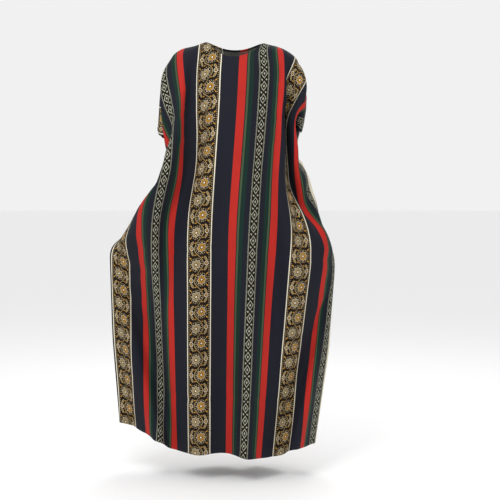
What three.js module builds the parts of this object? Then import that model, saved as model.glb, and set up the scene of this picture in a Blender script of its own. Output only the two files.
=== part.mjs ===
// A dera, worn: a long, loose, wide dress sewn from two straight lengths of light printed cloth.
// Millimetres, +Z up. The front faces -Y and +X is the side of the wearer's left hand.
// The origin is the middle of the shoulder line, where the wearer's shoulders carry the dress.
//
// Nothing here is drawn as a finished form. The front and the back are cut flat, sewn together along
// the shoulders and down the sides, put over a general figure and let hang, with both sides lifted
// as two hands would lift them. The draped net then gets the thickness of its wall.
import * as THREE from "three";

// The flat cut: across from the middle, and down from the shoulder line
const HALF_WIDTH = 512;
const LENGTH = 1385;
const NECK_HALF_WIDTH = 98;
const NECK_CURVE = 2.2; // the power of the neckline's curve: 2 is a parabola
const CUFF_DEPTH = 204;
const PANELS = [
  { name: "front_panel", side: -1, neckDrop: 80 },
  { name: "back_panel", side: 1, neckDrop: 25 },
];

// The wall, and how far a panel's middle stays from the surface in which the seams lie
const WALL = 1.2;
const SEAM_OFFSET = 0.95;
const LAYER_GAP = 22; // between the layers of a fold

// The net: equal columns, and rows that are closer together at the shoulders than at the hem
const COLUMNS = 52;
const ROWS = 38;
const ROW_GRADING = 0.62;

// The general figure under the cloth, in sections down from the shoulders
const TORSO = [
  { z: -40, halfWidth: 110, halfDepth: 60 },
  { z: -90, halfWidth: 150, halfDepth: 95 },
  { z: -200, halfWidth: 152, halfDepth: 118 },
  { z: -300, halfWidth: 148, halfDepth: 122 },
  { z: -420, halfWidth: 142, halfDepth: 112 },
  { z: -560, halfWidth: 165, halfDepth: 118 },
  { z: -680, halfWidth: 178, halfDepth: 122 },
  { z: -820, halfWidth: 170, halfDepth: 112 },
  { z: -1100, halfWidth: 130, halfDepth: 90 },
  { z: -1500, halfWidth: 120, halfDepth: 85 },
];
// Its round-ended limbs, on both sides: each end's x and z, and the radius there
const SHOULDER = { x0: 60, z0: -42, r0: 40, x1: 165, z1: -66, r1: 44 };
const UPPER_ARM = { x0: 184, z0: -115, r0: 50, x1: 214, z1: -360, r1: 34 };
const ARM_RAISED = 82; // degrees above where it ends up, when the dress goes on

// Where the cloth is held, as lines across it or down it, each from point to point: on the
// shoulders, at the cuffs and, where the sides are lifted, along the side seams
const HELD = [
  [
    { across: -98, down: 0, x: -95, z: 0 },
    { across: -236, down: 0, x: -208, z: -44 },
    { across: -354, down: 0, x: -252, z: -139 },
  ],
  [
    { across: 98, down: 0, x: 95, z: -4 },
    { across: 236, down: 0, x: 189, z: -44 },
    { across: 354, down: 0, x: 236, z: -130 },
  ],
  [{ across: -512, down: 0, x: -262, z: -283 }],
  [{ across: -512, down: 204, x: -195, z: -308 }],
  [{ across: 512, down: 0, x: 233, z: -258 }],
  [
    { across: -512, down: 792, x: -428, z: -693 },
    { across: -512, down: 1090, x: -420, z: -988 },
    { across: -512, down: 1385, x: -397, z: -1283 },
  ],
  [
    { across: 512, down: 204, x: 174, z: -294 },
    { across: 512, down: 455, x: 250, z: -459 },
    { across: 512, down: 645, x: 288, z: -633 },
    { across: 512, down: 740, x: 337, z: -708 },
    { across: 512, down: 1060, x: 318, z: -1028 },
    { across: 512, down: 1385, x: 270, z: -1350 },
  ],
];

// The widest that the cloth reaches to each side, by height
const OUTLINE = [
  { z: 0, left: -122, right: 94 },
  { z: -30, left: -197, right: 174 },
  { z: -57, left: -220, right: 207 },
  { z: -111, left: -248, right: 234 },
  { z: -164, left: -256, right: 240 },
  { z: -225, left: -258, right: 236 },
  { z: -295, left: -264, right: 222 },
  { z: -330, left: -238, right: 208 },
  { z: -400, left: -246, right: 228 },
  { z: -450, left: -266, right: 252 },
  { z: -546, left: -318, right: 278 },
  { z: -630, left: -368, right: 292 },
  { z: -693, left: -432, right: 328 },
  { z: -710, left: -434, right: 339 },
  { z: -870, left: -428, right: 338 },
  { z: -1060, left: -416, right: 318 },
  { z: -1283, left: -398, right: 286 },
  { z: -1350, left: -394, right: 271 },
  { z: -1500, left: -394, right: 271 },
];

// How the width gathers: where points across the cloth come to lie at the hips and at the hem
const GATHERS = [
  { across: -512, hips: -418, hem: -397 },
  { across: -461, hips: -385, hem: -367 },
  { across: -347, hips: -305, hem: -293 },
  { across: -199, hips: -211, hem: -206 },
  { across: -84, hips: -120, hem: -124 },
  { across: 31, hips: -12, hem: -18 },
  { across: 179, hips: 108, hem: 75 },
  { across: 294, hips: 199, hem: 156 },
  { across: 409, hips: 281, hem: 219 },
  { across: 512, hips: 335, hem: 270 },
];
const GATHERED = { from: 480, hips: 900, hem: LENGTH, pull: 0.03 };

// Down the front, beside the wearer's left arm: where the spare width of the sleeve tucks into a
// deep fold. Each line runs down the cloth; only the middle one is drawn to a depth as well.
const TUCKS = [
  [
    { down: 150, across: 248, x: 178 },
    { down: 250, across: 248, x: 172 },
    { down: 350, across: 248, x: 170 },
    { down: 420, across: 246, x: 160 },
    { down: 500, across: 246, x: 165 },
    { down: 600, across: 250, x: 186 },
  ],
  [
    { down: 260, across: 319, x: 166, y: -22 },
    { down: 300, across: 320, x: 165, y: -15 },
    { down: 400, across: 320, x: 172, y: -15 },
    { down: 480, across: 316, x: 178, y: -30 },
    { down: 560, across: 305, x: 195, y: -55 },
    { down: 630, across: 300, x: 215, y: -75 },
  ],
  [
    { down: 320, across: 395, x: 192 },
    { down: 350, across: 395, x: 190 },
    { down: 420, across: 395, x: 188 },
    { down: 500, across: 390, x: 202 },
    { down: 600, across: 380, x: 245 },
  ],
];
const TUCKING = { pull: 0.06, reach: 16 };

// Where the cloth starts to fold inwards before it hangs, and from how far down
const FOLDS = [
  { across: -404, down: 400, depth: 60, width: 40 },
  { across: -273, down: 350, depth: 50, width: 40 },
  { across: -141, down: 450, depth: 55, width: 38 },
  { across: 105, down: 400, depth: 70, width: 44 },
  { across: 236, down: 350, depth: 55, width: 38 },
  { across: 352, down: 200, depth: 90, width: 40 },
];
const FOLD_RUN_IN = 700; // until a fold has its whole depth

// The seams lie in the plane y = 0 near the body, and bend back from it towards the sides
const SEAM_BEND = { from: 150, over: 260, back: 55 };

// The hanging
const STEPS = 320;
const ROUNDS = 14;
const LIFTING = 0.4; // the share of the steps in which the arms come down and the sides go up
const GRAVITY = 0.3;
const KEPT_SPEED = 0.97;
const GRIP = 0.3; // of the limbs on the cloth
const CLOTH = { stretch: 1, squeeze: 0.22, shear: 0.16, shearSqueeze: 0.035, bend: 0.05 };
const SMOOTHING = 2;
const UNDERARMS = { rounds: 6, reach: 60 }; // more smoothing, where the cuffs meet the side seams

const smooth = (t) => {
  const c = Math.min(1, Math.max(0, t));
  return c * c * (3 - 2 * c);
};
const mix = (a, b, t) => a + t * (b - a);

function seamSurface(x) {
  return SEAM_BEND.back * smooth((Math.abs(x) - SEAM_BEND.from) / SEAM_BEND.over);
}

// The flat cloth under a net point
const acrossAt = (i) => mix(-HALF_WIDTH, HALF_WIDTH, i / COLUMNS);
const rowShare = (j) => (j / ROWS) * mix(ROW_GRADING, 1, j / ROWS);
function downAt(panel, i, j) {
  const t = Math.min(1, Math.abs(acrossAt(i)) / NECK_HALF_WIDTH);
  const neckline = panel.neckDrop * (1 - t ** NECK_CURVE);
  return mix(neckline, LENGTH, rowShare(j));
}

const cell = (i, j) => i * (ROWS + 1) + j;
function eachCell(visit) {
  for (let i = 0; i <= COLUMNS; i++) for (let j = 0; j <= ROWS; j++) visit(i, j);
}

// The two panels as one net. They share their points where they are sewn together: side 0.
function sewNet() {
  const cuffRow = Math.round(ROWS * inverseShare(CUFF_DEPTH / LENGTH));
  const points = [];
  const grids = PANELS.map(() => []);
  PANELS.forEach((panel, k) =>
    eachCell((i, j) => {
      const across = acrossAt(i);
      const down = downAt(panel, i, j);
      const onShoulder = j === 0 && Math.abs(across) > NECK_HALF_WIDTH - 1;
      const onSide = (i === 0 || i === COLUMNS) && j >= cuffRow;
      if (onShoulder || onSide) {
        if (k === 0) points.push({ across, down, side: 0, depth: 0 });
        grids[k][cell(i, j)] = k === 0 ? points.length - 1 : grids[0][cell(i, j)];
        return;
      }
      let depth = Math.min(170, 20 + down) * (1 - 0.6 * (across / HALF_WIDTH) ** 2);
      for (const fold of FOLDS) {
        const nearness = Math.exp(-(((across - fold.across) / fold.width) ** 2));
        depth -= fold.depth * nearness * smooth((down - fold.down) / FOLD_RUN_IN);
      }
      points.push({ across, down, side: panel.side, depth });
      grids[k][cell(i, j)] = points.length - 1;
    }),
  );
  return { points, grids };
}
// The row, as a share of ROWS, at a share of the length
function inverseShare(share) {
  const g = ROW_GRADING;
  return (Math.sqrt(g * g + 4 * (1 - g) * share) - g) / (2 * (1 - g));
}

// The net's threads: along and across, on both diagonals, and from each point to the next but one
function threads({ points, grids }) {
  const kinds = [
    { di: 1, dj: 0, pull: CLOTH.stretch, push: CLOTH.squeeze },
    { di: 0, dj: 1, pull: CLOTH.stretch, push: CLOTH.squeeze },
    { di: 1, dj: 1, pull: CLOTH.shear, push: CLOTH.shearSqueeze },
    { di: -1, dj: 1, pull: CLOTH.shear, push: CLOTH.shearSqueeze },
    { di: 2, dj: 0, pull: 0, push: CLOTH.bend },
    { di: 0, dj: 2, pull: 0, push: CLOTH.bend },
  ];
  const known = new Set();
  const list = [];
  for (const { di, dj, pull, push } of kinds)
    for (const grid of grids)
      eachCell((i, j) => {
        if (i + di < 0 || i + di > COLUMNS || j + dj > ROWS) return;
        const a = grid[cell(i, j)];
        const b = grid[cell(i + di, j + dj)];
        const key = Math.min(a, b) * points.length + Math.max(a, b);
        if (known.has(key)) return;
        known.add(key);
        list.push({ a, b, rest: flatDistance(points[a], points[b]), pull, push });
      });
  return list;
}
const flatDistance = (p, q) => Math.hypot(p.across - q.across, p.down - q.down);

// The net points that HELD holds, each with its place
function heldPoints({ points, grids }) {
  const list = [];
  for (const line of HELD) {
    if (line.length === 1) {
      const sewn = [...points.keys()].filter((p) => points[p].side === 0);
      sewn.sort((p, q) => flatDistance(points[p], line[0]) - flatDistance(points[q], line[0]));
      list.push({ p: sewn[0], x: line[0].x, z: line[0].z });
      continue;
    }
    for (const p of new Set(grids[0])) {
      for (let n = 0; n + 1 < line.length; n++) {
        const whole = flatDistance(line[n], line[n + 1]);
        const done = flatDistance(points[p], line[n]);
        if (done + flatDistance(points[p], line[n + 1]) > whole + 0.5) continue;
        const share = done / whole;
        const x = mix(line[n].x, line[n + 1].x, share);
        const z = mix(line[n].z, line[n + 1].z, share);
        list.push({ p, x, z });
        break;
      }
    }
  }
  return list;
}

// The row of a table that a value falls in, and how far into it
function find(table, column, value, sign) {
  let n = 0;
  while (n < table.length - 2 && sign * value > sign * table[n + 1][column]) n++;
  const [a, b] = [table[n], table[n + 1]];
  return { a, b, share: (value - a[column]) / (b[column] - a[column]) };
}

function hang(net) {
  const { points, grids } = net;
  const count = points.length;
  const x = Float64Array.from(points, (p) => p.across);
  const y = Float64Array.from(points, (p) => (p.side === 0 ? seamSurface(p.across) : p.side * p.depth));
  const z = Float64Array.from(points, (p) => 20 - p.down);
  const side = Int8Array.from(points, (p) => p.side);
  const before = [x.slice(), y.slice(), z.slice()];

  const ties = threads(net);
  const a = Int32Array.from(ties, (t) => t.a);
  const b = Int32Array.from(ties, (t) => t.b);
  const rest = Float64Array.from(ties, (t) => t.rest);
  const pull = Float64Array.from(ties, (t) => t.pull / 2);
  const push = Float64Array.from(ties, (t) => t.push / 2);
  const tighten = () => {
    for (let t = 0; t < a.length; t++) {
      const p = a[t];
      const q = b[t];
      const dx = x[q] - x[p];
      const dy = y[q] - y[p];
      const dz = z[q] - z[p];
      const d = Math.sqrt(dx * dx + dy * dy + dz * dz);
      const f = ((d > rest[t] ? pull[t] : push[t]) * (d - rest[t])) / d;
      x[p] += f * dx;
      y[p] += f * dy;
      z[p] += f * dz;
      x[q] -= f * dx;
      y[q] -= f * dy;
      z[q] -= f * dz;
    }
  };

  // No point hangs further from the top of its column than the cloth between them is long
  const tops = [];
  for (const grid of grids)
    eachCell((i, j) => {
      if (j > 0) tops.push({ p: grid[cell(i, j)], top: grid[cell(i, 0)] });
    });
  const limitReach = () => {
    for (const { p, top } of tops) {
      const reach = points[p].down - points[top].down;
      const d = Math.hypot(x[p] - x[top], y[p] - y[top], z[p] - z[top]);
      if (d <= reach) continue;
      x[p] = mix(x[top], x[p], reach / d);
      y[p] = mix(y[top], y[p], reach / d);
      z[p] = mix(z[top], z[p], reach / d);
    }
  };

  const held = heldPoints(net).map((h) => ({ ...h, fromX: x[h.p], fromZ: z[h.p] }));
  const hold = (share) => {
    for (const h of held) {
      x[h.p] = mix(h.fromX, h.x, share);
      z[h.p] = mix(h.fromZ, h.z, share);
    }
  };

  const gathered = [];
  points.forEach(({ across, down, side: s }, p) => {
    if (s === 0 || down < GATHERED.from) return;
    const { a: left, b: right, share } = find(GATHERS, "across", across, 1);
    const hips = mix(left.hips, right.hips, share);
    const hem = mix(left.hem, right.hem, share);
    const below = (down - GATHERED.hips) / (GATHERED.hem - GATHERED.hips);
    const strength = smooth((down - GATHERED.from) / (GATHERED.hips - GATHERED.from));
    gathered.push({ p, goal: mix(hips, hem, below), pull: GATHERED.pull * strength });
  });
  const gather = () => {
    for (const g of gathered) x[g.p] += g.pull * (g.goal - x[g.p]);
  };

  const tucked = [];
  points.forEach(({ across, down, side: s }, p) => {
    for (const line of TUCKS) {
      if (s >= 0 || down < line[0].down || down > line[line.length - 1].down) continue;
      const { a: above, b: below, share } = find(line, "down", down, 1);
      const off = Math.abs(across - mix(above.across, below.across, share)) / TUCKING.reach;
      if (off >= 1) continue;
      const goalX = mix(above.x, below.x, share);
      const goalY = above.y === undefined ? undefined : mix(above.y, below.y, share);
      tucked.push({ p, goalX, goalY, pull: TUCKING.pull * (1 - off) });
    }
  });
  const tuck = () => {
    for (const t of tucked) {
      x[t.p] += t.pull * (t.goalX - x[t.p]);
      if (t.goalY !== undefined) y[t.p] += t.pull * (t.goalY - y[t.p]);
    }
  };

  const leaveTorso = () => {
    const bottom = TORSO[TORSO.length - 1].z;
    for (let p = 0; p < count; p++) {
      if (z[p] > TORSO[0].z || z[p] < bottom) continue;
      const { a: above, b: below, share } = find(TORSO, "z", z[p], -1);
      const w = mix(above.halfWidth, below.halfWidth, share);
      const d = mix(above.halfDepth, below.halfDepth, share);
      const q = Math.sqrt((x[p] / w) ** 2 + (y[p] / d) ** 2);
      if (q >= 1 || q < 1e-6) continue;
      x[p] /= q;
      y[p] /= q;
    }
  };
  const leaveLimb = (ax, az, ar, bx, bz, br) => {
    const ex = bx - ax;
    const ez = bz - az;
    const square = ex * ex + ez * ez;
    for (let p = 0; p < count; p++) {
      const along = Math.min(1, Math.max(0, ((x[p] - ax) * ex + (z[p] - az) * ez) / square));
      const dx = x[p] - ax - along * ex;
      const dz = z[p] - az - along * ez;
      const r = mix(ar, br, along);
      const d = Math.sqrt(dx * dx + y[p] * y[p] + dz * dz);
      if (d >= r || d < 1e-6) continue;
      x[p] += dx * (r / d - 1);
      z[p] += dz * (r / d - 1);
      y[p] *= r / d;
      before[0][p] = mix(before[0][p], x[p], GRIP);
      before[1][p] = mix(before[1][p], y[p], GRIP);
      before[2][p] = mix(before[2][p], z[p], GRIP);
    }
  };
  const leaveLimbs = (share) => {
    const { x0, z0, r0, x1, z1, r1 } = UPPER_ARM;
    const reach = Math.hypot(x1 - x0, z1 - z0);
    const turn = Math.atan2(x1 - x0, z0 - z1) + (1 - share) * THREE.MathUtils.degToRad(ARM_RAISED);
    for (const s of [-1, 1]) {
      const { x0: nearX, z0: nearZ, r0: nearR, x1: farX, z1: farZ, r1: farR } = SHOULDER;
      leaveLimb(s * nearX, nearZ, nearR, s * farX, farZ, farR);
      leaveLimb(s * x0, z0, r0, s * (x0 + reach * Math.sin(turn)), z0 - reach * Math.cos(turn), r1);
    }
  };

  const keepOutline = (room) => {
    for (let p = 0; p < count; p++) {
      if (z[p] > 0) continue;
      const { a: above, b: below, share } = find(OUTLINE, "z", z[p], -1);
      x[p] = Math.max(x[p], mix(above.left, below.left, share) - room);
      x[p] = Math.min(x[p], mix(above.right, below.right, share) + room);
    }
  };
  const keepSides = () => {
    for (let p = 0; p < count; p++) {
      const seam = seamSurface(x[p]);
      if (side[p] === 0) y[p] = seam;
      else if (side[p] * (y[p] - seam) < SEAM_OFFSET) y[p] = seam + side[p] * SEAM_OFFSET;
    }
  };

  // Layers of one panel stay apart: points are sorted into boxes as wide as the gap between layers
  const boxOf = (p) => {
    const [bx, by, bz] = [x, y, z].map((axis) => Math.floor(axis[p] / LAYER_GAP) + 128);
    return (bx * 256 + by) * 256 + bz;
  };
  const nextDoor = [-1, 0, 1].flatMap((i) =>
    [-1, 0, 1].flatMap((j) => [-1, 0, 1].map((k) => (i * 256 + j) * 256 + k)),
  );
  const sortIntoBoxes = () => {
    const boxes = new Map();
    for (let p = 0; p < count; p++) {
      const box = boxOf(p);
      if (!boxes.has(box)) boxes.set(box, []);
      boxes.get(box).push(p);
    }
    return boxes;
  };
  const pushApart = (p, q) => {
    if (side[p] * side[q] < 0) return;
    const dx = x[q] - x[p];
    const dy = y[q] - y[p];
    const dz = z[q] - z[p];
    const d = Math.sqrt(dx * dx + dy * dy + dz * dz);
    if (d >= LAYER_GAP || d < 1e-3 || flatDistance(points[p], points[q]) < 2.4 * LAYER_GAP) return;
    const f = (LAYER_GAP - d) / (2 * d);
    x[p] -= f * dx;
    y[p] -= f * dy;
    z[p] -= f * dz;
    x[q] += f * dx;
    y[q] += f * dy;
    z[q] += f * dz;
  };
  const partLayers = (boxes) => {
    for (let p = 0; p < count; p++) {
      const home = boxOf(p);
      for (const step of nextDoor) for (const q of boxes.get(home + step) ?? []) if (q > p) pushApart(p, q);
    }
  };

  for (let step = 0; step < STEPS; step++) {
    const share = smooth(step / (STEPS * LIFTING));
    [x, y, z].forEach((axis, n) => {
      for (let p = 0; p < count; p++) {
        const speed = (axis[p] - before[n][p]) * KEPT_SPEED;
        before[n][p] = axis[p];
        axis[p] += speed;
      }
    });
    for (let p = 0; p < count; p++) z[p] -= GRAVITY;
    const boxes = sortIntoBoxes();
    for (let round = 0; round < ROUNDS; round++) {
      tighten();
      if (round % 2 === 0) partLayers(boxes);
      if (round % 4 === 0) limitReach();
      if (share > 0.5) {
        gather();
        tuck();
      }
      hold(share);
      if (round % 3 !== 1) continue;
      leaveTorso();
      leaveLimbs(share);
      keepOutline((1 - share) * HALF_WIDTH);
      keepSides();
    }
  }
  for (let round = 0; round < SMOOTHING + UNDERARMS.rounds; round++)
    for (const axis of [x, y, z]) evenOut(axis, grids, round < SMOOTHING ? insideEdges : nearUnderarms);
  keepSides();
  return (k, i, j) => {
    const p = grids[k][cell(i, j)];
    const apart = side[p] === 0 ? PANELS[k].side * SEAM_OFFSET : 0;
    return new THREE.Vector3(x[p], y[p] + apart, z[p]);
  };
}

// Moves each point by a share of the way to the middle of its neighbours: of all four, or on a
// side edge of the two along it
function evenOut(axis, grids, shareAt) {
  const was = axis.slice();
  for (const grid of grids)
    for (let i = 0; i <= COLUMNS; i++)
      for (let j = 1; j < ROWS; j++) {
        const inLine = (was[grid[cell(i, j - 1)]] + was[grid[cell(i, j + 1)]]) / 2;
        const inner = i > 0 && i < COLUMNS;
        const beside = inner ? (was[grid[cell(i - 1, j)]] + was[grid[cell(i + 1, j)]]) / 2 : inLine;
        axis[grid[cell(i, j)]] = mix(was[grid[cell(i, j)]], (beside + inLine) / 2, shareAt(i, j));
      }
}
const insideEdges = (i) => (i > 0 && i < COLUMNS ? 0.5 : 0);
function nearUnderarms(i, j) {
  const away = Math.hypot(HALF_WIDTH - Math.abs(acrossAt(i)), LENGTH * rowShare(j) - CUFF_DEPTH);
  return 0.5 * Math.exp(-((away / UNDERARMS.reach) ** 2));
}

// A panel's wall: the net moved out and in by half the thickness, and closed around its edge
function wall(k, place) {
  const at = (i, j) => place(k, Math.min(Math.max(i, 0), COLUMNS), Math.min(Math.max(j, 0), ROWS));
  const outward = (i, j) => {
    const across = at(i + 1, j).sub(at(i - 1, j));
    const down = at(i, j + 1).sub(at(i, j - 1));
    return down.cross(across).setLength(-PANELS[k].side);
  };
  const corners = [];
  for (const half of [WALL / 2, -WALL / 2])
    eachCell((i, j) => corners.push(at(i, j).addScaledVector(outward(i, j), half)));
  const outer = (i, j) => cell(i, j);
  const inner = (i, j) => (COLUMNS + 1) * (ROWS + 1) + cell(i, j);
  const faces = [];
  const quad = (p, q, r, s) => {
    if (PANELS[k].side < 0) faces.push(p, q, r, p, r, s);
    else faces.push(p, r, q, p, s, r);
  };
  for (let i = 0; i < COLUMNS; i++)
    for (let j = 0; j < ROWS; j++) {
      quad(outer(i, j), outer(i, j + 1), outer(i + 1, j + 1), outer(i + 1, j));
      quad(inner(i, j), inner(i + 1, j), inner(i + 1, j + 1), inner(i, j + 1));
    }
  for (let i = 0; i < COLUMNS; i++) {
    quad(outer(i, 0), outer(i + 1, 0), inner(i + 1, 0), inner(i, 0));
    quad(outer(i, ROWS), inner(i, ROWS), inner(i + 1, ROWS), outer(i + 1, ROWS));
  }
  for (let j = 0; j < ROWS; j++) {
    quad(outer(0, j), inner(0, j), inner(0, j + 1), outer(0, j + 1));
    quad(outer(COLUMNS, j), outer(COLUMNS, j + 1), inner(COLUMNS, j + 1), inner(COLUMNS, j));
  }
  const geometry = new THREE.BufferGeometry().setFromPoints(corners).setIndex(faces);
  geometry.computeVertexNormals();
  return geometry;
}

function clothMaterial() {
  return new THREE.MeshStandardMaterial({ color: 0x23243a, roughness: 0.85, metalness: 0 });
}

const dress = new THREE.Group();
const place = hang(sewNet());
PANELS.forEach(({ name }, k) => {
  const panel = new THREE.Mesh(wall(k, place), clothMaterial());
  panel.name = name;
  dress.add(panel);
});

export default dress;
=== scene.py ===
# %% [markdown]
# # A dera, worn and spread
#
# A dera is a long, loose, one-size dress. It is two straight lengths of light printed cloth, sewn
# together along the shoulders and down the sides, with a round neck. Here it hangs as it is worn,
# with both sides lifted and spread. The solids of the two panels come first, because every piece
# of this scene takes its place from them.

# %% Load the two panels
import bpy
import bmesh
import math
from bisect import bisect_left
from mathutils import Matrix, Vector, noise
from mathutils.bvhtree import BVHTree
from mathutils.geometry import barycentric_transform


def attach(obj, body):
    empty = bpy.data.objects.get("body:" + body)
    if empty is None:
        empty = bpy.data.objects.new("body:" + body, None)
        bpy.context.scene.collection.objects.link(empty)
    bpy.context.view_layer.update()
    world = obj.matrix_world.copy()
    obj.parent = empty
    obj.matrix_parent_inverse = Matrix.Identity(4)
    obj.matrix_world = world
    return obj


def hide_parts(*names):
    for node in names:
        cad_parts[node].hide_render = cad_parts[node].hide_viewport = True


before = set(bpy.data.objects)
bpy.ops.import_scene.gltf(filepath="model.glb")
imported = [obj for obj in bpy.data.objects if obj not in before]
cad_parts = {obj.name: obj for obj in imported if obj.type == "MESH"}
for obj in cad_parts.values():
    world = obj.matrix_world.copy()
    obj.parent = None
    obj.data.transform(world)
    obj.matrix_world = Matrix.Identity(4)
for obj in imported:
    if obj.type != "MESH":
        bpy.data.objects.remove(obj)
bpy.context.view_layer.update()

# %% [markdown]
# The sizes below are those of the flat cut, before anything is sewn. A place on the cloth is told
# by two lengths: how far across it lies from the middle, and how far down from the shoulder line.
# The solids are nets of equal columns, with rows that are closer together near the shoulders, so a
# corner's column and row give its place on the flat cloth.

# %% The flat cut
MM = 0.001
HALF_WIDTH = 512 * MM
LENGTH = 1385 * MM
NECK_HALF_WIDTH = 98 * MM
NECK_CURVE = 2.2
NECK_DROP = {"front_panel": 80 * MM, "back_panel": 25 * MM}
CUFF_DEPTH = 204 * MM
COLUMNS, ROWS = 52, 38
ROW_GRADING = 0.62


def neckline(panel, across):
    """How far down the cloth starts: zero on the shoulders, and lower in the neck's curve."""
    return NECK_DROP[panel] * (1 - min(1, abs(across) / NECK_HALF_WIDTH) ** NECK_CURVE)


def flat_place(panel, column, row):
    """A net corner's place on the flat cloth, in metres: across and down."""
    across = HALF_WIDTH * (2 * column / COLUMNS - 1)
    share = row / ROWS
    share *= ROW_GRADING + (1 - ROW_GRADING) * share
    top = neckline(panel, across)
    return Vector((across, top + (LENGTH - top) * share))


print("flat cut:", 2 * HALF_WIDTH, "m wide and", LENGTH, "m long, cuffs", 2 * CUFF_DEPTH, "m round")

# %% [markdown]
# A panel's solid is a closed wall: an outer side, an inner side, and a rim that joins them. Real
# cloth is much thinner than that wall, so only the outer side is kept here, and it gets a cloth's
# own thickness later. The rim is easy to tell from the sides, because its faces are the only ones
# with an edge as short as the wall is thick. What remains falls apart into two sheets, and the
# outer one is the sheet whose faces look away from the wearer.

# %% Keep the outer side of each wall
RIM_EDGE = 2 * MM
FACING = {"front_panel": Vector((0, -1, 0)), "back_panel": Vector((0, 1, 0))}


def outer_sheet(panel):
    """The outer side of a panel's wall, as a bmesh."""
    net = bmesh.new()
    net.from_mesh(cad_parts[panel].data)
    bmesh.ops.remove_doubles(net, verts=net.verts, dist=0.01 * MM)
    rim = [f for f in net.faces if min(e.calc_length() for e in f.edges) < RIM_EDGE]
    bmesh.ops.delete(net, geom=rim, context="FACES")
    first, waiting = set(), [net.verts[:][0]]
    while waiting:
        corner = waiting.pop()
        if corner not in first:
            first.add(corner)
            waiting += [e.other_vert(corner) for e in corner.link_edges]
    outward = sum((f.normal * f.calc_area() for f in net.faces if f.verts[0] in first), Vector())
    first_is_outer = outward.dot(FACING[panel]) > 0
    inner = [v for v in net.verts if (v in first) != first_is_outer]
    bmesh.ops.delete(net, geom=inner, context="VERTS")
    return net


# %% [markdown]
# Every inner corner of the net has a neighbour in the next column and one in the next row, so the
# rows can be read off by walking. The walk starts along the border, whose four corners are the only
# ones with fewer than four edges. The next corner of a new row is always the one that is joined
# both to the corner before it and to the corner above it.

# %% Read the net row by row
def border_from(start, step):
    """Walks along the border from one corner to the next."""
    side = [start, step]
    while len(side[-1].link_edges) > 3:
        side += [w for w in (e.other_vert(side[-1]) for e in side[-1].link_edges if e.is_boundary)
                 if w != side[-2]]
    return side


def net_rows(panel):
    """The places of the net's corners, as rows from the shoulders down, each from left to right."""
    net = outer_sheet(panel)
    ends = [v for v in net.verts if len(v.link_edges) < 4]
    start = min(ends, key=lambda v: v.co.x - v.co.z)
    sides = [border_from(start, e.other_vert(start)) for e in start.link_edges if e.is_boundary]
    left, top = sorted(sides, key=len)
    rows, placed = [top], set(top) | set(left)
    for head in left[1:]:
        row = [head]
        for above in rows[-1][1:]:
            beside = {e.other_vert(row[-1]) for e in row[-1].link_edges}
            below = {e.other_vert(above) for e in above.link_edges}
            (found,) = (beside & below) - placed
            row.append(found)
            placed.add(found)
        rows.append(row)
    places = [[v.co.copy() for v in row] for row in rows]
    net.free()
    return places


nets = {panel: net_rows(panel) for panel in NECK_DROP}
for panel, rows in nets.items():
    print(panel, "net:", len(rows[0]), "by", len(rows), "corners")

# %% [markdown]
# The two solids stand a little apart at their seams, so that they can be told from each other. Real
# panels are sewn edge to edge. Along the shoulders, and down the sides from the cuffs, the corners
# of both nets are drawn together, to the middle between them.

# %% Sew the edges together
SEAM_GAP = 0.3 * MM


def on_a_seam(column, row):
    across, down = flat_place("front_panel", column, row)
    on_shoulder = row == 0 and abs(across) >= NECK_HALF_WIDTH
    on_side = column in (0, COLUMNS) and down >= CUFF_DEPTH
    return on_shoulder or on_side


sewn = 0
for row in range(ROWS + 1):
    for column in range(COLUMNS + 1):
        if on_a_seam(column, row):
            front, back = (nets[panel][row][column] for panel in NECK_DROP)
            middle, apart = (front + back) / 2, (back - front).normalized() * SEAM_GAP / 2
            nets["front_panel"][row][column] = middle - apart
            nets["back_panel"][row][column] = middle + apart
            sewn += 1
print("corners sewn:", sewn)

# %% [markdown]
# A flat grid has the same corners as the net, so each panel starts as a grid of that size, with its
# corners moved to the net's places. The flat places go into the UV map, in metres. The print and
# the stitching read them from there, so they run with the threads wherever the cloth goes. Two
# rounds of subdivision then turn the facets into soft folds. They also round off the four ends of
# the seams, at the neck and at the cuffs, where the panels part by up to 9 mm.

# %% Lay the cloth
SMOOTH_ROUNDS = 2


def lay_cloth(panel):
    """The panel as one smooth sheet without thickness, with its flat places in the UV map."""
    sheet = bmesh.new()
    bmesh.ops.create_grid(sheet, x_segments=COLUMNS, y_segments=ROWS, size=1)
    flat = sheet.loops.layers.uv.new("flat")
    for corner in sheet.verts:
        column = round((corner.co.x + 1) / 2 * COLUMNS)
        row = round((1 - corner.co.y) / 2 * ROWS)
        place = flat_place(panel, column, row)
        for loop in corner.link_loops:
            loop[flat].uv = place
        corner.co = nets[panel][row][column]
    if FACING[panel].y > 0:
        bmesh.ops.reverse_faces(sheet, faces=sheet.faces)
    mesh = bpy.data.meshes.new(panel + "_draft")
    sheet.to_mesh(mesh)
    sheet.free()
    draft = bpy.data.objects.new(panel + "_draft", mesh)
    bpy.context.scene.collection.objects.link(draft)
    rounds = draft.modifiers.new("smooth", "SUBSURF")
    rounds.levels = rounds.render_levels = SMOOTH_ROUNDS
    rounds.boundary_smooth = "PRESERVE_CORNERS"
    rounds.uv_smooth = "NONE"
    evaluated = draft.evaluated_get(bpy.context.evaluated_depsgraph_get())
    smooth = bpy.data.meshes.new_from_object(evaluated)
    bpy.data.objects.remove(draft)
    smooth.name = panel + "_cloth"
    return smooth


cloths = {panel: lay_cloth(panel) for panel in NECK_DROP}
for panel, mesh in cloths.items():
    print(panel, "has", len(mesh.vertices), "corners")

# %% [markdown]
# Light cloth never hangs quite smooth. The big folds are already in the net. The smaller creases
# are worked in here, by moving each corner a few millimetres along its own normal. A crease runs
# between two places on the flat cloth, fades out at both ends, and is a trough where its height is
# negative. A slow noise, stretched down the cloth, adds the waviness between the creases.

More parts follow.
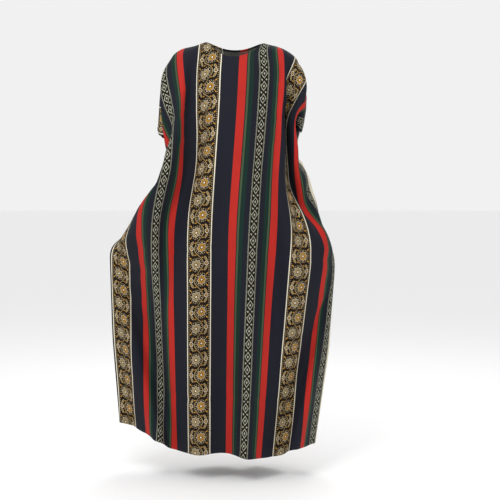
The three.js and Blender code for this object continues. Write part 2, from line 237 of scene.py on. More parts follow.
# %% Creases
CREASES = {
    "front_panel": [
        # from across, down, to across, down, height, half width
        (-500, 770, -330, 640, 5.0, 26),
        (-500, 800, -300, 790, -4.0, 22),
        (-490, 830, -330, 960, 4.5, 26),
        (-400, 300, -290, 520, -5.0, 20),
        (-330, 260, -240, 470, 4.0, 18),
        (-260, 90, -205, 300, -2.5, 16),
        (230, 90, 190, 330, -3.0, 16),
        (330, 170, 260, 420, 4.0, 18),
        (500, 730, 380, 560, 5.5, 22),
        (505, 760, 330, 690, -5.0, 20),
        (500, 790, 360, 930, 4.0, 24),
        (60, 700, 20, 1200, 2.0, 22),
        (-30, 850, -60, 1340, -2.0, 20),
        (150, 620, 120, 1100, -2.5, 22),
        (-180, 520, -190, 900, 2.5, 20),
        (-240, 900, -250, 1370, -3.0, 18),
        # pulled towards the arms, across the chest
        (-290, 210, -120, 150, 2.2, 15),
        (-300, 250, -140, 260, -2.4, 15),
        (-280, 300, -100, 380, 2.0, 17),
        (240, 200, 110, 140, 2.0, 15),
        (240, 260, 90, 290, -2.2, 16),
        (230, 330, 70, 420, 1.8, 18),
        # from the folded dress in its packet
        (-440, 714, 380, 702, -1.9, 11),
        (-380, 226, 330, 220, -1.3, 11),
        (-470, 1206, 470, 1192, -1.7, 11),
        (110, 982, 500, 990, -1.5, 11),
    ],
    "back_panel": [
        (-495, 780, -340, 650, 4.5, 26),
        (-490, 830, -320, 950, -4.0, 24),
        (-330, 250, -260, 500, -4.0, 20),
        (-250, 80, -190, 320, 2.5, 18),
        (250, 90, 205, 340, -3.0, 18),
        (340, 200, 270, 450, 4.0, 20),
        (500, 740, 370, 600, 5.0, 24),
        (495, 790, 350, 900, -4.0, 22),
        (80, 560, 60, 1150, 2.0, 24),
        (-60, 700, -80, 1330, -2.0, 22),
        (190, 800, 200, 1360, 2.5, 22),
        (-210, 650, -230, 1250, -2.5, 22),
        (-290, 200, -110, 150, 2.0, 16),
        (-280, 280, -110, 330, -2.2, 17),
        (270, 210, 110, 160, 2.2, 16),
        (260, 300, 100, 350, -2.0, 17),
        (-430, 704, 430, 712, -1.9, 11),
        (-360, 222, 350, 226, -1.3, 11),
        (-470, 1194, 460, 1204, -1.7, 11),
    ],
}
CALM_SIDE, CALM_TOP = 40, 60  # how near an edge the creases start to fade, in mm
WAVINESS = [
    # waves across and down per metre, height in mm, seed
    (14, 2.4, 2.2, 3.7),
    (38, 7.0, 0.7, 11.3),
]


def crease_height(place, crease):
    """How far one crease lifts the cloth at a place on the flat cloth, in millimetres."""
    start, end = Vector(crease[:2]), Vector(crease[2:4])
    height, half_width = crease[4:]
    along = end - start
    share = (place - start).dot(along) / along.length_squared
    if not 0 < share < 1:
        return 0
    aside = (place - start - along * share).length / half_width
    return height * math.exp(-aside * aside) * math.sin(math.pi * share) ** 0.7


def waviness(place):
    return sum(height * noise.noise(Vector((place.x * across / 1000, place.y * down / 1000, seed)))
               for across, down, height, seed in WAVINESS)


def flat_places(mesh):
    """The flat place of every corner of a mesh, in millimetres."""
    places = [None] * len(mesh.vertices)
    for loop, flat in zip(mesh.loops, mesh.uv_layers["flat"].data):
        places[loop.vertex_index] = Vector(flat.uv) / MM
    return places


for panel, mesh in cloths.items():
    normals = [v.normal.copy() for v in mesh.vertices]
    for corner, place, normal in zip(mesh.vertices, flat_places(mesh), normals):
        near_side = min(1, (HALF_WIDTH / MM - abs(place.x)) / CALM_SIDE)
        near_top = min(1, place.y / CALM_TOP)
        lift = waviness(place) + sum(crease_height(place, crease) for crease in CREASES[panel])
        corner.co += normal * lift * MM * max(0.0, near_side) * max(0.0, near_top)
    print(panel, "got", len(CREASES[panel]), "creases")

# %% [markdown]
# ## The print
#
# The print is one layout that repeats across the cloth and is mirrored about the middle of its wide
# band. From that middle outwards come the band, a cream line, navy, red, two greens, navy again,
# and at last half of a narrow border. Everything is drawn from the flat places, with numbers that
# vary over the cloth. A small class keeps that readable: it joins node outputs with Python's own
# signs, where & is "both", | is "either" and < and > give one or zero.

# %% Numbers that vary over the cloth
class Field:
    """A number that varies over a surface, as the output of a node."""

    def __init__(self, socket):
        self.socket, self.tree = socket, socket.id_data

    def node(self, operation, *others):
        node = self.tree.nodes.new("ShaderNodeMath")
        node.operation = operation
        for socket, value in zip(node.inputs, (self, *others)):
            if isinstance(value, Field):
                self.tree.links.new(value.socket, socket)
            else:
                socket.default_value = value
        return Field(node.outputs[0])

    def __add__(self, other): return self.node("ADD", other)
    def __sub__(self, other): return self.node("SUBTRACT", other)
    def __mul__(self, other): return self.node("MULTIPLY", other)
    def __truediv__(self, other): return self.node("DIVIDE", other)
    def __and__(self, other): return self.node("MINIMUM", other)
    def __or__(self, other): return self.node("MAXIMUM", other)
    def __lt__(self, other): return self.node("LESS_THAN", other)
    def __gt__(self, other): return self.node("GREATER_THAN", other)
    def __mod__(self, other): return self.node("FLOORED_MODULO", other)
    def size(self): return self.node("ABSOLUTE")
    def sign(self): return self.node("SIGN")
    def sine(self): return self.node("SINE")
    def cosine(self): return self.node("COSINE")
    def angle(self, other): return self.node("ARCTAN2", other)
    def root(self): return self.node("SQRT")


def centred(field, repeat):
    """The distance from the nearest of equally spaced lines, negative on one side."""
    return (field + repeat / 2) % repeat - repeat / 2


def distance(x, y):
    return (x * x + y * y).root()


def between(field, low, high):
    return (field > low) & (field < high)


# %% [markdown]
# Colours are easiest to name as they look on a screen, but the shader works with amounts of light.
# The curve between the two is the usual one for screens, and this helper applies it.

# %% Colours
def light(code):
    """A screen colour, written as six hexadecimal digits, as amounts of light."""
    parts = [int(code[k:k + 2], 16) / 255 for k in (0, 2, 4)]
    return (*[p / 12.92 if p <= 0.04045 else ((p + 0.055) / 1.055) ** 2.4 for p in parts], 1)


NAVY, BLACK_BROWN, CREAM = light("151722"), light("150c07"), light("dcd3bc")
RED, OLIVE, BOTTLE_GREEN = light("ad251e"), light("3f4e35"), light("0d2822")
OLD_GOLD, BRIGHT_GOLD, PALE_GREY = light("a18b60"), light("b08231"), light("a0a390")
PLAIN_CLOTH = light("a9a69c")
print("colours of the print: 9, on plain cloth")

# %% [markdown]
# The ground of the print is plain stripes. One colour ramp holds them all: it reads the distance
# from the middle of the nearest wide band and steps from colour to colour without blending.

# %% The striped ground
REPEAT = 378 * MM
BAND_MIDDLE = -84 * MM
BAND_HALF, BORDER_HALF = 40 * MM, 19 * MM
STRIPES = [
    # begins at this distance from the band's middle, in mm
    (0, BLACK_BROWN),
    (40, CREAM),
    (44, NAVY),
    (101, RED),
    (127.5, NAVY),
    (130.5, OLIVE),
    (137, BOTTLE_GREEN),
    (152, NAVY),
    (170, BLACK_BROWN),
]


def striped_ground(from_middle):
    tree = from_middle.tree
    ramp = tree.nodes.new("ShaderNodeValToRGB")
    ramp.color_ramp.interpolation = "CONSTANT"
    stops = ramp.color_ramp.elements
    while len(stops) < len(STRIPES):
        stops.new(1)
    for stop, (start, colour) in zip(stops, STRIPES):
        stop.position, stop.color = start * MM / (REPEAT / 2), colour
    tree.links.new((from_middle / (REPEAT / 2)).socket, ramp.inputs["Fac"])
    return ramp.outputs["Color"]


def paint(under, mask, colour):
    """Lays a colour over what is under it, where the mask is one."""
    mix = mask.tree.nodes.new("ShaderNodeMix")
    mix.data_type = "RGBA"
    mask.tree.links.new(mask.socket, mix.inputs["Factor"])
    mask.tree.links.new(under, mix.inputs["A"])
    if isinstance(colour, bpy.types.NodeSocket):
        mask.tree.links.new(colour, mix.inputs["B"])
    else:
        mix.inputs["B"].default_value = colour
    return mix.outputs["Result"]


# %% [markdown]
# The wide band carries a winding vine. The vine swings from side to side, and a flower with many
# petals fills each bay that it leaves, in a ring of pearls. Leaves and a curled bud grow on its
# outer side, and a row of beads runs along both edges. The bays on both sides have the same shape,
# so the pattern is folded about the vine's swing and drawn once. Only the petals differ: they are
# bright gold in the bays of one side and old gold in those of the other.

# %% The vine of the wide band
VINE_PITCH = 104 * MM
VINE_SWING = 16 * MM
FLOWER_ASIDE, BUD_ASIDE = 10 * MM, -27 * MM
STEM, STEM_STOPS = 1.2 * MM, 17.5 * MM
PETALS, PETAL_SIDES, PETAL_TIP = 8, 9.6 * MM, 4.2 * MM
HEART, PETAL_FOOT = 3.2 * MM, 5.6 * MM
VEIN, VEIN_STOPS = 0.3, 11.5 * MM
SCALLOPS = (1.6 * MM, 2.9 * MM)
PEARLS, PEARL_RING, PEARL = 18, 20.5 * MM, 1.7 * MM
BUD, BUD_CURL = 3.0 * MM, (5.4 * MM, 7 * MM)
BEAD_LINE, BEAD_STEP, BEAD = 36 * MM, 7 * MM, 1.6 * MM
LEAF_SHAPES = {
    # across, along, turned by degrees, half length, half width, in mm from the bay's middle
    "leaf": (-25, 15, 58, 9.5, 3.8),
    "midrib": (-25, 15, 58, 7.5, 0.9),
    "sprig by the flower": (30, 19, 40, 4.6, 1.9),
    "sprig by the stem": (-13, 20, 10, 3.8, 1.6),
}


def ellipse(x, y, at, turned, half_length, half_width):
    """Less than one inside a turned ellipse, and more than one outside it."""
    c, s = math.cos(math.radians(turned)), math.sin(math.radians(turned))
    x, y = x - at[0], y - at[1]
    return distance((x * c + y * s) / half_length, (y * c - x * s) / half_width)


def leaf_shape(x, y, kind, side):
    """One of the leaf shapes, above or below the bay's middle."""
    across, along, turned, half_length, half_width = LEAF_SHAPES[kind]
    at = (across * MM, side * along * MM)
    return ellipse(x, y, at, side * turned, half_length * MM, half_width * MM)


def vine(aside, down):
    """Where the vine's pattern is old gold, where it is bright gold and where it is cream."""
    swing = (down * (2 * math.pi / VINE_PITCH)).sine()
    from_stem = (aside - swing * VINE_SWING).size()
    x = aside * swing.sign() * -1
    y = centred(down - VINE_PITCH / 4, VINE_PITCH / 2)

    from_heart = distance(x - FLOWER_ASIDE, y)
    around = y.angle(x - FLOWER_ASIDE)
    petal_edge = (around * (PETALS / 2)).cosine().size() * PETAL_TIP + PETAL_SIDES
    beside_vein = ((around * (PETALS / 2)).sine().size() > VEIN) | (from_heart > VEIN_STOPS)
    petals = (from_heart < petal_edge) & (from_heart > PETAL_FOOT) & beside_vein
    scallops = between(from_heart - petal_edge, *SCALLOPS)
    along_ring = centred(around, 2 * math.pi / PEARLS) * PEARL_RING
    pearls = distance(from_heart - PEARL_RING, along_ring) < PEARL
    stem = (from_stem < STEM) & (from_heart > STEM_STOPS)

    leaves, sprigs = from_stem < 0, from_stem < 0
    for side in (-1, 1):
        leaf, midrib, *twigs = [leaf_shape(x, y, kind, side) for kind in LEAF_SHAPES]
        leaves = leaves | ((leaf < 1) & (midrib > 1))
        for twig in twigs:
            sprigs = sprigs | (twig < 1)
    from_bud = distance(x - BUD_ASIDE, y)
    curl = between(from_bud, *BUD_CURL)
    bead = distance(aside.size() - BEAD_LINE, centred(down, BEAD_STEP)) < BEAD

    old_gold = stem | pearls | leaves | bead | (petals & (swing > 0))
    bright_gold = (petals & (swing < 0)) | sprigs | (from_bud < BUD)
    cream = scallops | curl | (from_heart < HEART)
    return old_gold, bright_gold, cream


# %% [markdown]
# The narrow border is plainer: a row of lozenges, each with a smaller one inside it, small squares
# between them, and a dotted line along both edges.

# %% The lozenges of the narrow border
LOZENGE_PITCH = 42 * MM


def lozenges(aside, down):
    """Where the border's pattern is pale."""
    y = centred(down, LOZENGE_PITCH)
    spread = aside.size() / (12.5 * MM) + y.size() / (17 * MM)
    frames = between(spread, 0.77, 1)
    inner = spread < 0.3
    away = centred(down + LOZENGE_PITCH / 2, LOZENGE_PITCH).size()
    square = ((aside.size() - 8 * MM).size() + away) < 3.8 * MM
    rail = between(aside.size(), 14.8 * MM, 15.9 * MM)
    dots = distance(aside.size() - 17.6 * MM, centred(down, 4.2 * MM)) < 1.1 * MM
    return frames | inner | square | rail | dots


# %% [markdown]
# Cloth has two sides. The print is laid on the outer one, and the inner one shows it paler, as the
# ink only partly comes through. Both are made by the same function. Its bump is a plain weave with
# a little unevenness in the yarn, and a soft sheen stands for the fine fibres that catch the light.
# The weave also paints shade into the colour, darker in the gaps between the yarns.

# %% The printed cloth
YARN = 0.45 * MM
SELVEDGE_TOP, SELVEDGE_TAPER = 21 * MM, 0.011  # its width at the shoulder, and how fast it narrows
HOOK_STEP, HOOK, HOOK_EYE = 7 * MM, 2.6 * MM, 1.2 * MM
BLEED, BLEED_GRAIN = 1.2 * MM, 240
PATCH_GRAIN, PATCH_DETAIL, SLUB_GRAIN = 7, 6, 900
# darkening by random patches, painted shade in the gaps between the yarns, and pale wear
SHADE_FROM, SHADE, WEAVE_GAP_SHADE, WEAR = 0.3, 0.5, 0.12, 0.012


def selvedge(across, down):
    """Where the unprinted edge of the cloth shows: down the one side seam, below the cuff. The seam
    is sewn at a slight slant, so less of it shows further down, and the border's hooks reach into
    it."""
    into = across - HALF_WIDTH + SELVEDGE_TOP - down * SELVEDGE_TAPER
    from_hook = distance(into, centred(down, HOOK_STEP))
    return (into > 0) & (down > CUFF_DEPTH) & ((from_hook > HOOK) | (from_hook < HOOK_EYE))


def plain_weave(across, down):
    """The height of a plain weave, from zero to one."""
    turn = math.pi / YARN
    over = (across * turn).sine() * (down * turn).sine()
    return over * 0.5 + 0.5


def printed_cloth(name, worn_through):
    """A side of the cloth. The print is mixed with plain pale cloth by the given share."""
    material = bpy.data.materials.new(name)
    material.use_nodes = True
    tree = material.node_tree
    shader = tree.nodes["Principled BSDF"]
    places = tree.nodes.new("ShaderNodeUVMap")
    places.uv_map = "flat"
    split = tree.nodes.new("ShaderNodeSeparateXYZ")
    tree.links.new(places.outputs["UV"], split.inputs["Vector"])
    across, down = Field(split.outputs["X"]), Field(split.outputs["Y"])

    blur = tree.nodes.new("ShaderNodeTexNoise")
    blur.inputs["Scale"].default_value = BLEED_GRAIN
    tree.links.new(places.outputs["UV"], blur.inputs["Vector"])
    bleed = (Field(blur.outputs["Fac"]) - 0.5) * BLEED

    from_band = centred(across + bleed - BAND_MIDDLE, REPEAT)
    from_border = centred(across + bleed - BAND_MIDDLE - REPEAT / 2, REPEAT)
    down = down + bleed
    colour = striped_ground(from_band.size())
    in_band = from_band.size() < BAND_HALF
    for part, gold in zip(vine(from_band, down), (OLD_GOLD, BRIGHT_GOLD, CREAM)):
        colour = paint(colour, part & in_band, gold)
    in_border = from_border.size() < BORDER_HALF
    colour = paint(colour, lozenges(from_border, down) & in_border, PALE_GREY)
    colour = paint(colour, selvedge(across, down), CREAM)

    patchy = tree.nodes.new("ShaderNodeTexNoise")
    patchy.inputs["Scale"].default_value = PATCH_GRAIN
    patchy.inputs["Detail"].default_value = PATCH_DETAIL
    tree.links.new(places.outputs["UV"], patchy.inputs["Vector"])
    uneven = Field(patchy.outputs["Fac"])
    thread = plain_weave(across, down)
    # random patches darken the print a little, and painted shade darkens the gaps of the weave,
    # where its bump is low
    colour = paint(colour, (uneven - SHADE_FROM) * SHADE - thread * WEAVE_GAP_SHADE, BLACK_BROWN)
    colour = paint(colour, uneven * WEAR + worn_through, PLAIN_CLOTH)
    tree.links.new(colour, shader.inputs["Base Color"])

    slub = tree.nodes.new("ShaderNodeTexNoise")
    slub.inputs["Scale"].default_value = SLUB_GRAIN
    tree.links.new(places.outputs["UV"], slub.inputs["Vector"])
    bump = tree.nodes.new("ShaderNodeBump")
    bump.inputs["Distance"].default_value = 0.12 * MM
    bump.inputs["Strength"].default_value = 0.6
    tree.links.new((thread + Field(slub.outputs["Fac"]) * 0.5).socket, bump.inputs["Height"])
    tree.links.new(bump.outputs["Normal"], shader.inputs["Normal"])
    shader.inputs["Roughness"].default_value = 0.78
    shader.inputs["Specular IOR Level"].default_value = 0.12
    shader.inputs["Sheen Weight"].default_value = 0.03
    shader.inputs["Sheen Roughness"].default_value = 0.4
    print(name, "has", len(tree.nodes), "nodes")
    return material


right_side = printed_cloth("printed_cloth", 0.0)
wrong_side = printed_cloth("printed_cloth_inside", 0.35)

# %% [markdown]
# ## The panels
#
# Each panel gets the thickness of light cloth with a Solidify modifier, which also gives the inner
# side its own material.

# %% Front and back
CLOTH_THICKNESS = 0.4 * MM


def add_piece(name, mesh, panel, *materials):
    """Puts a finished mesh in the scene, where it rides on the dress's one body."""
    piece = bpy.data.objects.new(name, mesh)
    bpy.context.scene.collection.objects.link(piece)
    for material in materials:
        mesh.materials.append(material)
    for face in mesh.polygons:
        face.use_smooth = True
    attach(piece, "root")
    return piece


pieces = {}
for panel, mesh in cloths.items():
    piece = add_piece(panel + "_cloth", mesh, panel, right_side, wrong_side)
    wall = piece.modifiers.new("cloth thickness", "SOLIDIFY")
    wall.thickness, wall.offset, wall.material_offset = CLOTH_THICKNESS, -1, 1
    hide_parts(panel)
    pieces[panel] = piece
print("pieces:", [p.name for p in pieces.values()])

# %% [markdown]
# ## Edges and stitches
#
# Whatever is sewn onto the cloth is placed by its flat place too. This helper turns a flat place
# back into a point in space. It keeps a flat copy of the finished cloth, finds the flat triangle
# that covers the place, and carries the point over to the same triangle of the real cloth.

# %% From a flat place to a point on the cloth
class Cloth:
    """Finds points on a finished panel by their flat places, in millimetres."""

    def __init__(self, mesh):
        mesh.calc_loop_triangles()
        self.triangles = [tuple(t.vertices) for t in mesh.loop_triangles]
        self.flat = [place.to_3d() for place in flat_places(mesh)]
        self.points = [v.co.copy() for v in mesh.vertices]
        self.normals = [v.normal.copy() for v in mesh.vertices]
        self.tree = BVHTree.FromPolygons(self.flat, self.triangles)

    def at(self, place):
        """The point and the outward direction at a flat place."""
        spot, _, index, _ = self.tree.find_nearest(place.to_3d())
        corners = self.triangles[index]
        flat = [self.flat[c] for c in corners]
        point, normal = (barycentric_transform(spot, *flat, *[known[c] for c in corners])
                         for known in (self.points, self.normals))
        return point, normal.normalized()

    def beside_edge(self, edge, inward, inset, height):
        """A point at a distance in from an edge, and out from the cloth."""
        point, normal = self.at(edge + inward * max(0.0, inset))
        if inset < 0:
            point += (self.at(edge + inward)[0] - point).normalized() * inset * MM
        return point + normal * height * MM


sewn_cloths = {panel: Cloth(mesh) for panel, mesh in cloths.items()}
print("middle of the front hem:", sewn_cloths["front_panel"].at(Vector((0, LENGTH / MM)))[0])

# %% [markdown]
# Each panel has four edges that are turned in: the neckline, both cuffs and the hem. An edge is
# written as a curve on the flat cloth, with the direction that leads into the cloth. Both are then
# read off at equal steps, because a curve's own steps are uneven where it is steep.

# %% The edges that are turned in
FINE_STEPS = 1500
NECK_TURN, CUFF_TURN, HEM_TURN = 7.0, 9.0, 11.0


def neck_curve(panel):
    def place(t):
        across, nudge = (2 * t - 1) * NECK_HALF_WIDTH, 0.2 * MM
        slope = (neckline(panel, across + nudge) - neckline(panel, across - nudge)) / (2 * nudge)
        side = math.copysign(1, across)
        inward = Vector((-slope, 1)).normalized().lerp(Vector((side, 0)), abs(2 * t - 1) ** 8)
        return Vector((across, neckline(panel, across))) / MM, inward.normalized()
    return place


def cuff_curve(side):
    return lambda t: (Vector((side * HALF_WIDTH, t * CUFF_DEPTH)) / MM, Vector((-side, 0)))


def hem_curve(t):
    return Vector(((2 * t - 1) * HALF_WIDTH, LENGTH)) / MM, Vector((0, -1))


def evenly(curve, step):
    """An edge's places at equal steps in millimetres, each with the direction into the cloth."""
    fine = [curve(k / FINE_STEPS) for k in range(FINE_STEPS + 1)]
    run = [0.0]
    for (a, _), (b, _) in zip(fine, fine[1:]):
        run.append(run[-1] + (b - a).length)
    count = max(2, round(run[-1] / step))
    return [fine[min(FINE_STEPS, bisect_left(run, run[-1] * k / count))] for k in range(count + 1)]


def turned_edges(panel):
    """A panel's turned edges: each one's curve, and how wide it is turned in, in millimetres."""
    cuffs = [(cuff_curve(side), CUFF_TURN) for side in (-1, 1)]
    return [(neck_curve(panel), NECK_TURN), *cuffs, (hem_curve, HEM_TURN)]


print("round the neck:", round(sum(len(evenly(neck_curve(p), 1)) for p in NECK_DROP)), "mm")

# %% [markdown]
# A turned edge is a soft, flat tube of folded cloth. Its section is a short table of points, each
# told by how far it lies in from the edge and how far out from the cloth. A grid gets one row for
# every point of the section, wraps round the edge, and closes on itself where its first and last
# row meet. The print runs on over the fold, so the part that is turned in shows what would have
# come next on the cloth.

# %% Turned edges
EDGE_STEP = 5.0
TURNED_SECTION = [
    # in from the edge as a share of the width, out from the cloth in mm, on the outer side
    (1.04, -0.15, True),
    (0.96, 0.22, True),
    (0.75, 0.45, True),
    (0.40, 0.55, True),
    (0.10, 0.48, True),
    (-0.05, 0.0, True),
    (-0.06, -0.5, False),
    (0.05, -1.1, False),
    (0.40, -1.35, False),
    (0.80, -1.25, False),
    (1.02, -1.0, False),
    (1.08, -0.55, False),
]


def add_turned_edge(folds, cloth, curve, width):
    """Adds one turned edge to a bmesh."""
    path = evenly(curve, EDGE_STEP)
    rows = len(TURNED_SECTION)
    made = bmesh.ops.create_grid(folds, x_segments=len(path) - 1, y_segments=rows, size=1)["verts"]
    flat = folds.loops.layers.uv.active
    for corner in made:
        edge, inward = path[round((corner.co.x + 1) / 2 * (len(path) - 1))]
        share, height, outer = TURNED_SECTION[round((corner.co.y + 1) / 2 * rows) % rows]
        for loop in corner.link_loops:
            loop[flat].uv = (edge + inward * share * width * (1 if outer else -1)) * MM
        corner.co = cloth.beside_edge(edge, inward, share * width, height)
    bmesh.ops.remove_doubles(folds, verts=made, dist=0.001 * MM)


def finished(mesh_name, shape):
    """A bmesh with closed ends and outward faces, as a mesh."""
    bmesh.ops.holes_fill(shape, edges=shape.edges, sides=0)
    bmesh.ops.recalc_face_normals(shape, faces=shape.faces)
    mesh = bpy.data.meshes.new(mesh_name)
    shape.to_mesh(mesh)
    shape.free()
    return mesh


trims = {panel: [] for panel in pieces}
for panel, cloth in sewn_cloths.items():
    folds = bmesh.new()
    folds.loops.layers.uv.new("flat")
    for curve, width in turned_edges(panel):
        add_turned_edge(folds, cloth, curve, width)
    name = panel + "_turned_edges"
    trims[panel].append(add_piece(name, finished(name, folds), panel, right_side))
    print(name, "has", len(trims[panel][-1].data.polygons), "faces")

# %% [markdown]
# The turned edges are held by a line of machine stitches near their inner side. One stitch is a
# small flattened ball, stretched to its length, with a gap to the next where the thread dives
# through the cloth. The thread is navy, so the line is quiet on the stripes and shows on the gold.

# %% Stitches
STITCH_STEP = 3.4
STITCH_SHARE = 0.7
STITCH_WIDTH, STITCH_HEIGHT = 0.55, 0.4
STITCH_INSET, STITCH_LIFT = 0.8, 0.5  # share of the turned width, and mm out from the cloth
STITCH_FACES = 20


def sewing_thread():
    material = bpy.data.materials.new("sewing_thread")
    material.use_nodes = True
    tree = material.node_tree
    shader = tree.nodes["Principled BSDF"]
    where = tree.nodes.new("ShaderNodeTexCoord")
    plies = tree.nodes.new("ShaderNodeTexWave")
    plies.inputs["Scale"].default_value = 900
    plies.bands_direction = "DIAGONAL"
    tree.links.new(where.outputs["Object"], plies.inputs["Vector"])
    # the ramp paints shade into the thread: dark in the grooves between the plies, where the bump
    # is low, and lighter on their crests
    shade = tree.nodes.new("ShaderNodeValToRGB")
    shade.color_ramp.elements[0].color = light("12131d")
    shade.color_ramp.elements[1].color = light("2b2e45")
    tree.links.new(plies.outputs["Fac"], shade.inputs["Fac"])
    tree.links.new(shade.outputs["Color"], shader.inputs["Base Color"])
    bump = tree.nodes.new("ShaderNodeBump")
    bump.inputs["Distance"].default_value = 0.05 * MM
    tree.links.new(plies.outputs["Fac"], bump.inputs["Height"])
    tree.links.new(bump.outputs["Normal"], shader.inputs["Normal"])
    shader.inputs["Roughness"].default_value = 0.5
    return material


def add_stitches(seam, cloth, curve, inset, height):
    """Adds a line of stitches beside an edge to a bmesh."""
    path = evenly(curve, STITCH_STEP)
    ends = [cloth.beside_edge(edge, inward, inset, height) for edge, inward in path]
    for a, b, (edge, inward) in zip(ends, ends[1:], path):
        along = b - a
        normal = cloth.at(edge + inward * inset)[1]
        aside = along.cross(normal).normalized()
        turn = Matrix((along.normalized(), aside, normal)).transposed().to_4x4()
        length = along.length * STITCH_SHARE
        size = Matrix.Diagonal((length, STITCH_WIDTH * MM, STITCH_HEIGHT * MM, 1))
        place = Matrix.Translation((a + b) / 2) @ turn @ size
        bmesh.ops.create_icosphere(seam, subdivisions=1, radius=0.5, matrix=place)


thread = sewing_thread()
for panel, cloth in sewn_cloths.items():
    seam = bmesh.new()
    for curve, width in turned_edges(panel):
        add_stitches(seam, cloth, curve, width * STITCH_INSET, STITCH_LIFT)
    name = panel + "_stitches"
    trims[panel].append(add_piece(name, finished(name, seam), panel, thread))
    print(name, "has", len(trims[panel][-1].data.polygons) // STITCH_FACES, "stitches")

# %% [markdown]
# Inside the dress, the cloth beyond a seam stands as a narrow double fin: the seam allowance. It
# runs along both shoulders and down both sides. Where the panels meet in a sharp edge, the fin
# points the way that both panels lead in; where they meet smoothly, as on the shoulders, it points
# straight away from their outer sides. The sum of both directions suits either case.

# %% Seam allowances
LEAD = 8  # how far in from a seam the way that a panel leads is read, in mm
ALLOWANCE_SECTION = [
    # depth below the seam and place across the fin, in mm
    (0.5, -0.42),
    (4.0, -0.48),
    (8.4, -0.42),
    (9.0, 0.0),
    (8.4, 0.42),
    (4.0, 0.48),
    (0.5, 0.42),
]


def shoulder_curve(side):
    run = HALF_WIDTH - NECK_HALF_WIDTH
    return lambda t: (Vector((side * (NECK_HALF_WIDTH + t * run), 0)) / MM, Vector((0, 1)))


def side_curve(side):
    run = LENGTH - CUFF_DEPTH
    return lambda t: (Vector((side * HALF_WIDTH, CUFF_DEPTH + t * run)) / MM, Vector((-side, 0)))


def seam_frame(edge, inward):
    """A seam's point, the way its allowance points, and the way across the allowance."""
    faces = [cloth.at(edge) for cloth in sewn_cloths.values()]
    seam_point = (faces[0][0] + faces[1][0]) / 2
    away = -faces[0][1] - faces[1][1]
    for cloth in sewn_cloths.values():
        away += (cloth.at(edge + inward * LEAD)[0] - seam_point).normalized()
    across = faces[0][1] - faces[1][1]
    away = (away - across * away.dot(across) / across.length_squared).normalized()
    return seam_point, away, across.normalized()


fins = bmesh.new()
flat_layer = fins.loops.layers.uv.new("flat")
for curve in [make(side) for side in (-1, 1) for make in (shoulder_curve, side_curve)]:
    path = evenly(curve, EDGE_STEP)
    frames = [seam_frame(*step) for step in path]
    rows = len(ALLOWANCE_SECTION)
    made = bmesh.ops.create_grid(fins, x_segments=len(path) - 1, y_segments=rows, size=1)["verts"]
    for corner in made:
        k = round((corner.co.x + 1) / 2 * (len(path) - 1))
        depth, aside = ALLOWANCE_SECTION[round((corner.co.y + 1) / 2 * rows) % rows]
        for loop in corner.link_loops:
            loop[flat_layer].uv = (path[k][0] - path[k][1] * depth) * MM
        point, away, across = frames[k]
        corner.co = point + (away * depth + across * aside) * MM
    bmesh.ops.remove_doubles(fins, verts=made, dist=0.001 * MM)
trims["back_panel"].append(
    add_piece("seam_allowances", finished("seam_allowances", fins), "back_panel", wrong_side))
print("seam allowances have", len(trims["back_panel"][-1].data.polygons), "faces")

# %% [markdown]
# Each panel's size on the flat cut is printed, and the area that its neckline cuts away is worked
# out.

# %% Sheets of cloth
def neck_area(panel):
    """The flat area that the neckline cuts away."""
    return NECK_DROP[panel] * 2 * NECK_HALF_WIDTH * (1 - 1 / (NECK_CURVE + 1))


for panel, piece in pieces.items():
    flat = (2 * HALF_WIDTH, LENGTH)
    flat[0] * flat[1] - neck_area(panel)
    print(piece.name, "cut from", [round(s, 3) for s in flat], "m")

# %% [markdown]
# ## The studio
#
# A plain pale floor a little below the hem, an even pale surround, and three broad lamps. The key
# lamp stands in front and to the left, a weaker one fills in the shade from the right, and the
# third shines from above and behind.

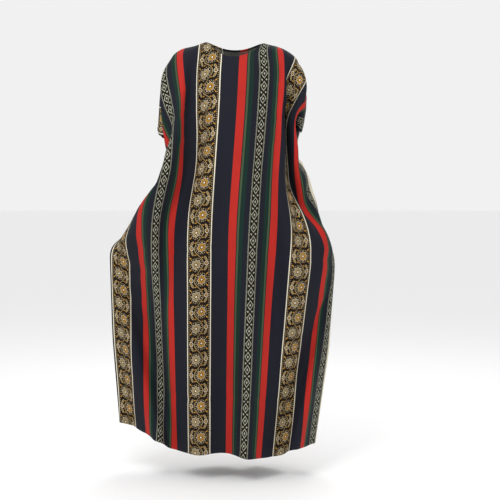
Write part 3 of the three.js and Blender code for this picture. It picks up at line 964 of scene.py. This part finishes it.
# %% Floor
FLOOR, FLOOR_HALF_SIDE = -1.45, 60
FLOOR_SHADE, FLOOR_ROUGHNESS = 0.94, 0.9
floor_mesh = bmesh.new()
bmesh.ops.create_grid(floor_mesh, x_segments=1, y_segments=1, size=FLOOR_HALF_SIDE)
bmesh.ops.translate(floor_mesh, verts=floor_mesh.verts, vec=(0, 0, FLOOR))
mesh = bpy.data.meshes.new("floor")
floor_mesh.to_mesh(mesh)
floor_mesh.free()
floor = bpy.data.objects.new("floor", mesh)
bpy.context.scene.collection.objects.link(floor)
pale = bpy.data.materials.new("pale_floor")
pale.use_nodes = True
pale_shader = pale.node_tree.nodes["Principled BSDF"]
pale_shader.inputs["Base Color"].default_value = (FLOOR_SHADE, FLOOR_SHADE, FLOOR_SHADE, 1)
pale_shader.inputs["Roughness"].default_value = FLOOR_ROUGHNESS
mesh.materials.append(pale)
print("floor at", FLOOR, "m")

# %% Light
LAMPS = [
    # name, place, side of the lamp in metres, power in watts
    ("key_lamp", (-0.8, -1.75, 0.9), 1.2, 27),
    ("fill_lamp", (2.0, -2.2, 0.5), 1.6, 8),
    ("top_lamp", (0.3, 1.8, 1.8), 1.8, 26),
]
MIDDLE = Vector((0.0, 0.0, -0.65))
SURROUND = 0.88
for name, place, side, power in LAMPS:
    lamp = bpy.data.lights.new(name, "AREA")
    lamp.size, lamp.energy = side, power
    stand = bpy.data.objects.new(name, lamp)
    stand.location = place
    stand.rotation_euler = (MIDDLE - Vector(place)).to_track_quat("-Z", "Y").to_euler()
    bpy.context.scene.collection.objects.link(stand)
surround = bpy.data.worlds.new("pale_surround")
surround.use_nodes = True
background = surround.node_tree.nodes["Background"]
background.inputs["Color"].default_value = (1, 1, 1, 1)
background.inputs["Strength"].default_value = SURROUND
bpy.context.scene.world = surround
bpy.context.scene.view_settings.view_transform = "Standard"
print("lamps:", len(LAMPS))

# %% [markdown]
# The camera stands far enough back to keep the dress's proportions, a little above its middle.

# %% Camera
VIEW_WIDTH = 1.675
VIEW_MIDDLE = Vector((0.0486, 0.0, -0.6935))
CAMERA_PLACE = Vector((0.0486, -4.2, -0.5))
lens = bpy.data.cameras.new("camera")
camera = bpy.data.objects.new("camera", lens)
camera.location = CAMERA_PLACE
camera.rotation_euler = (VIEW_MIDDLE - CAMERA_PLACE).to_track_quat("-Z", "Y").to_euler()
lens.lens = lens.sensor_width * (VIEW_MIDDLE - CAMERA_PLACE).length / VIEW_WIDTH
bpy.context.scene.collection.objects.link(camera)
bpy.context.scene.camera = camera
print("camera lens:", round(lens.lens, 1), "mm")
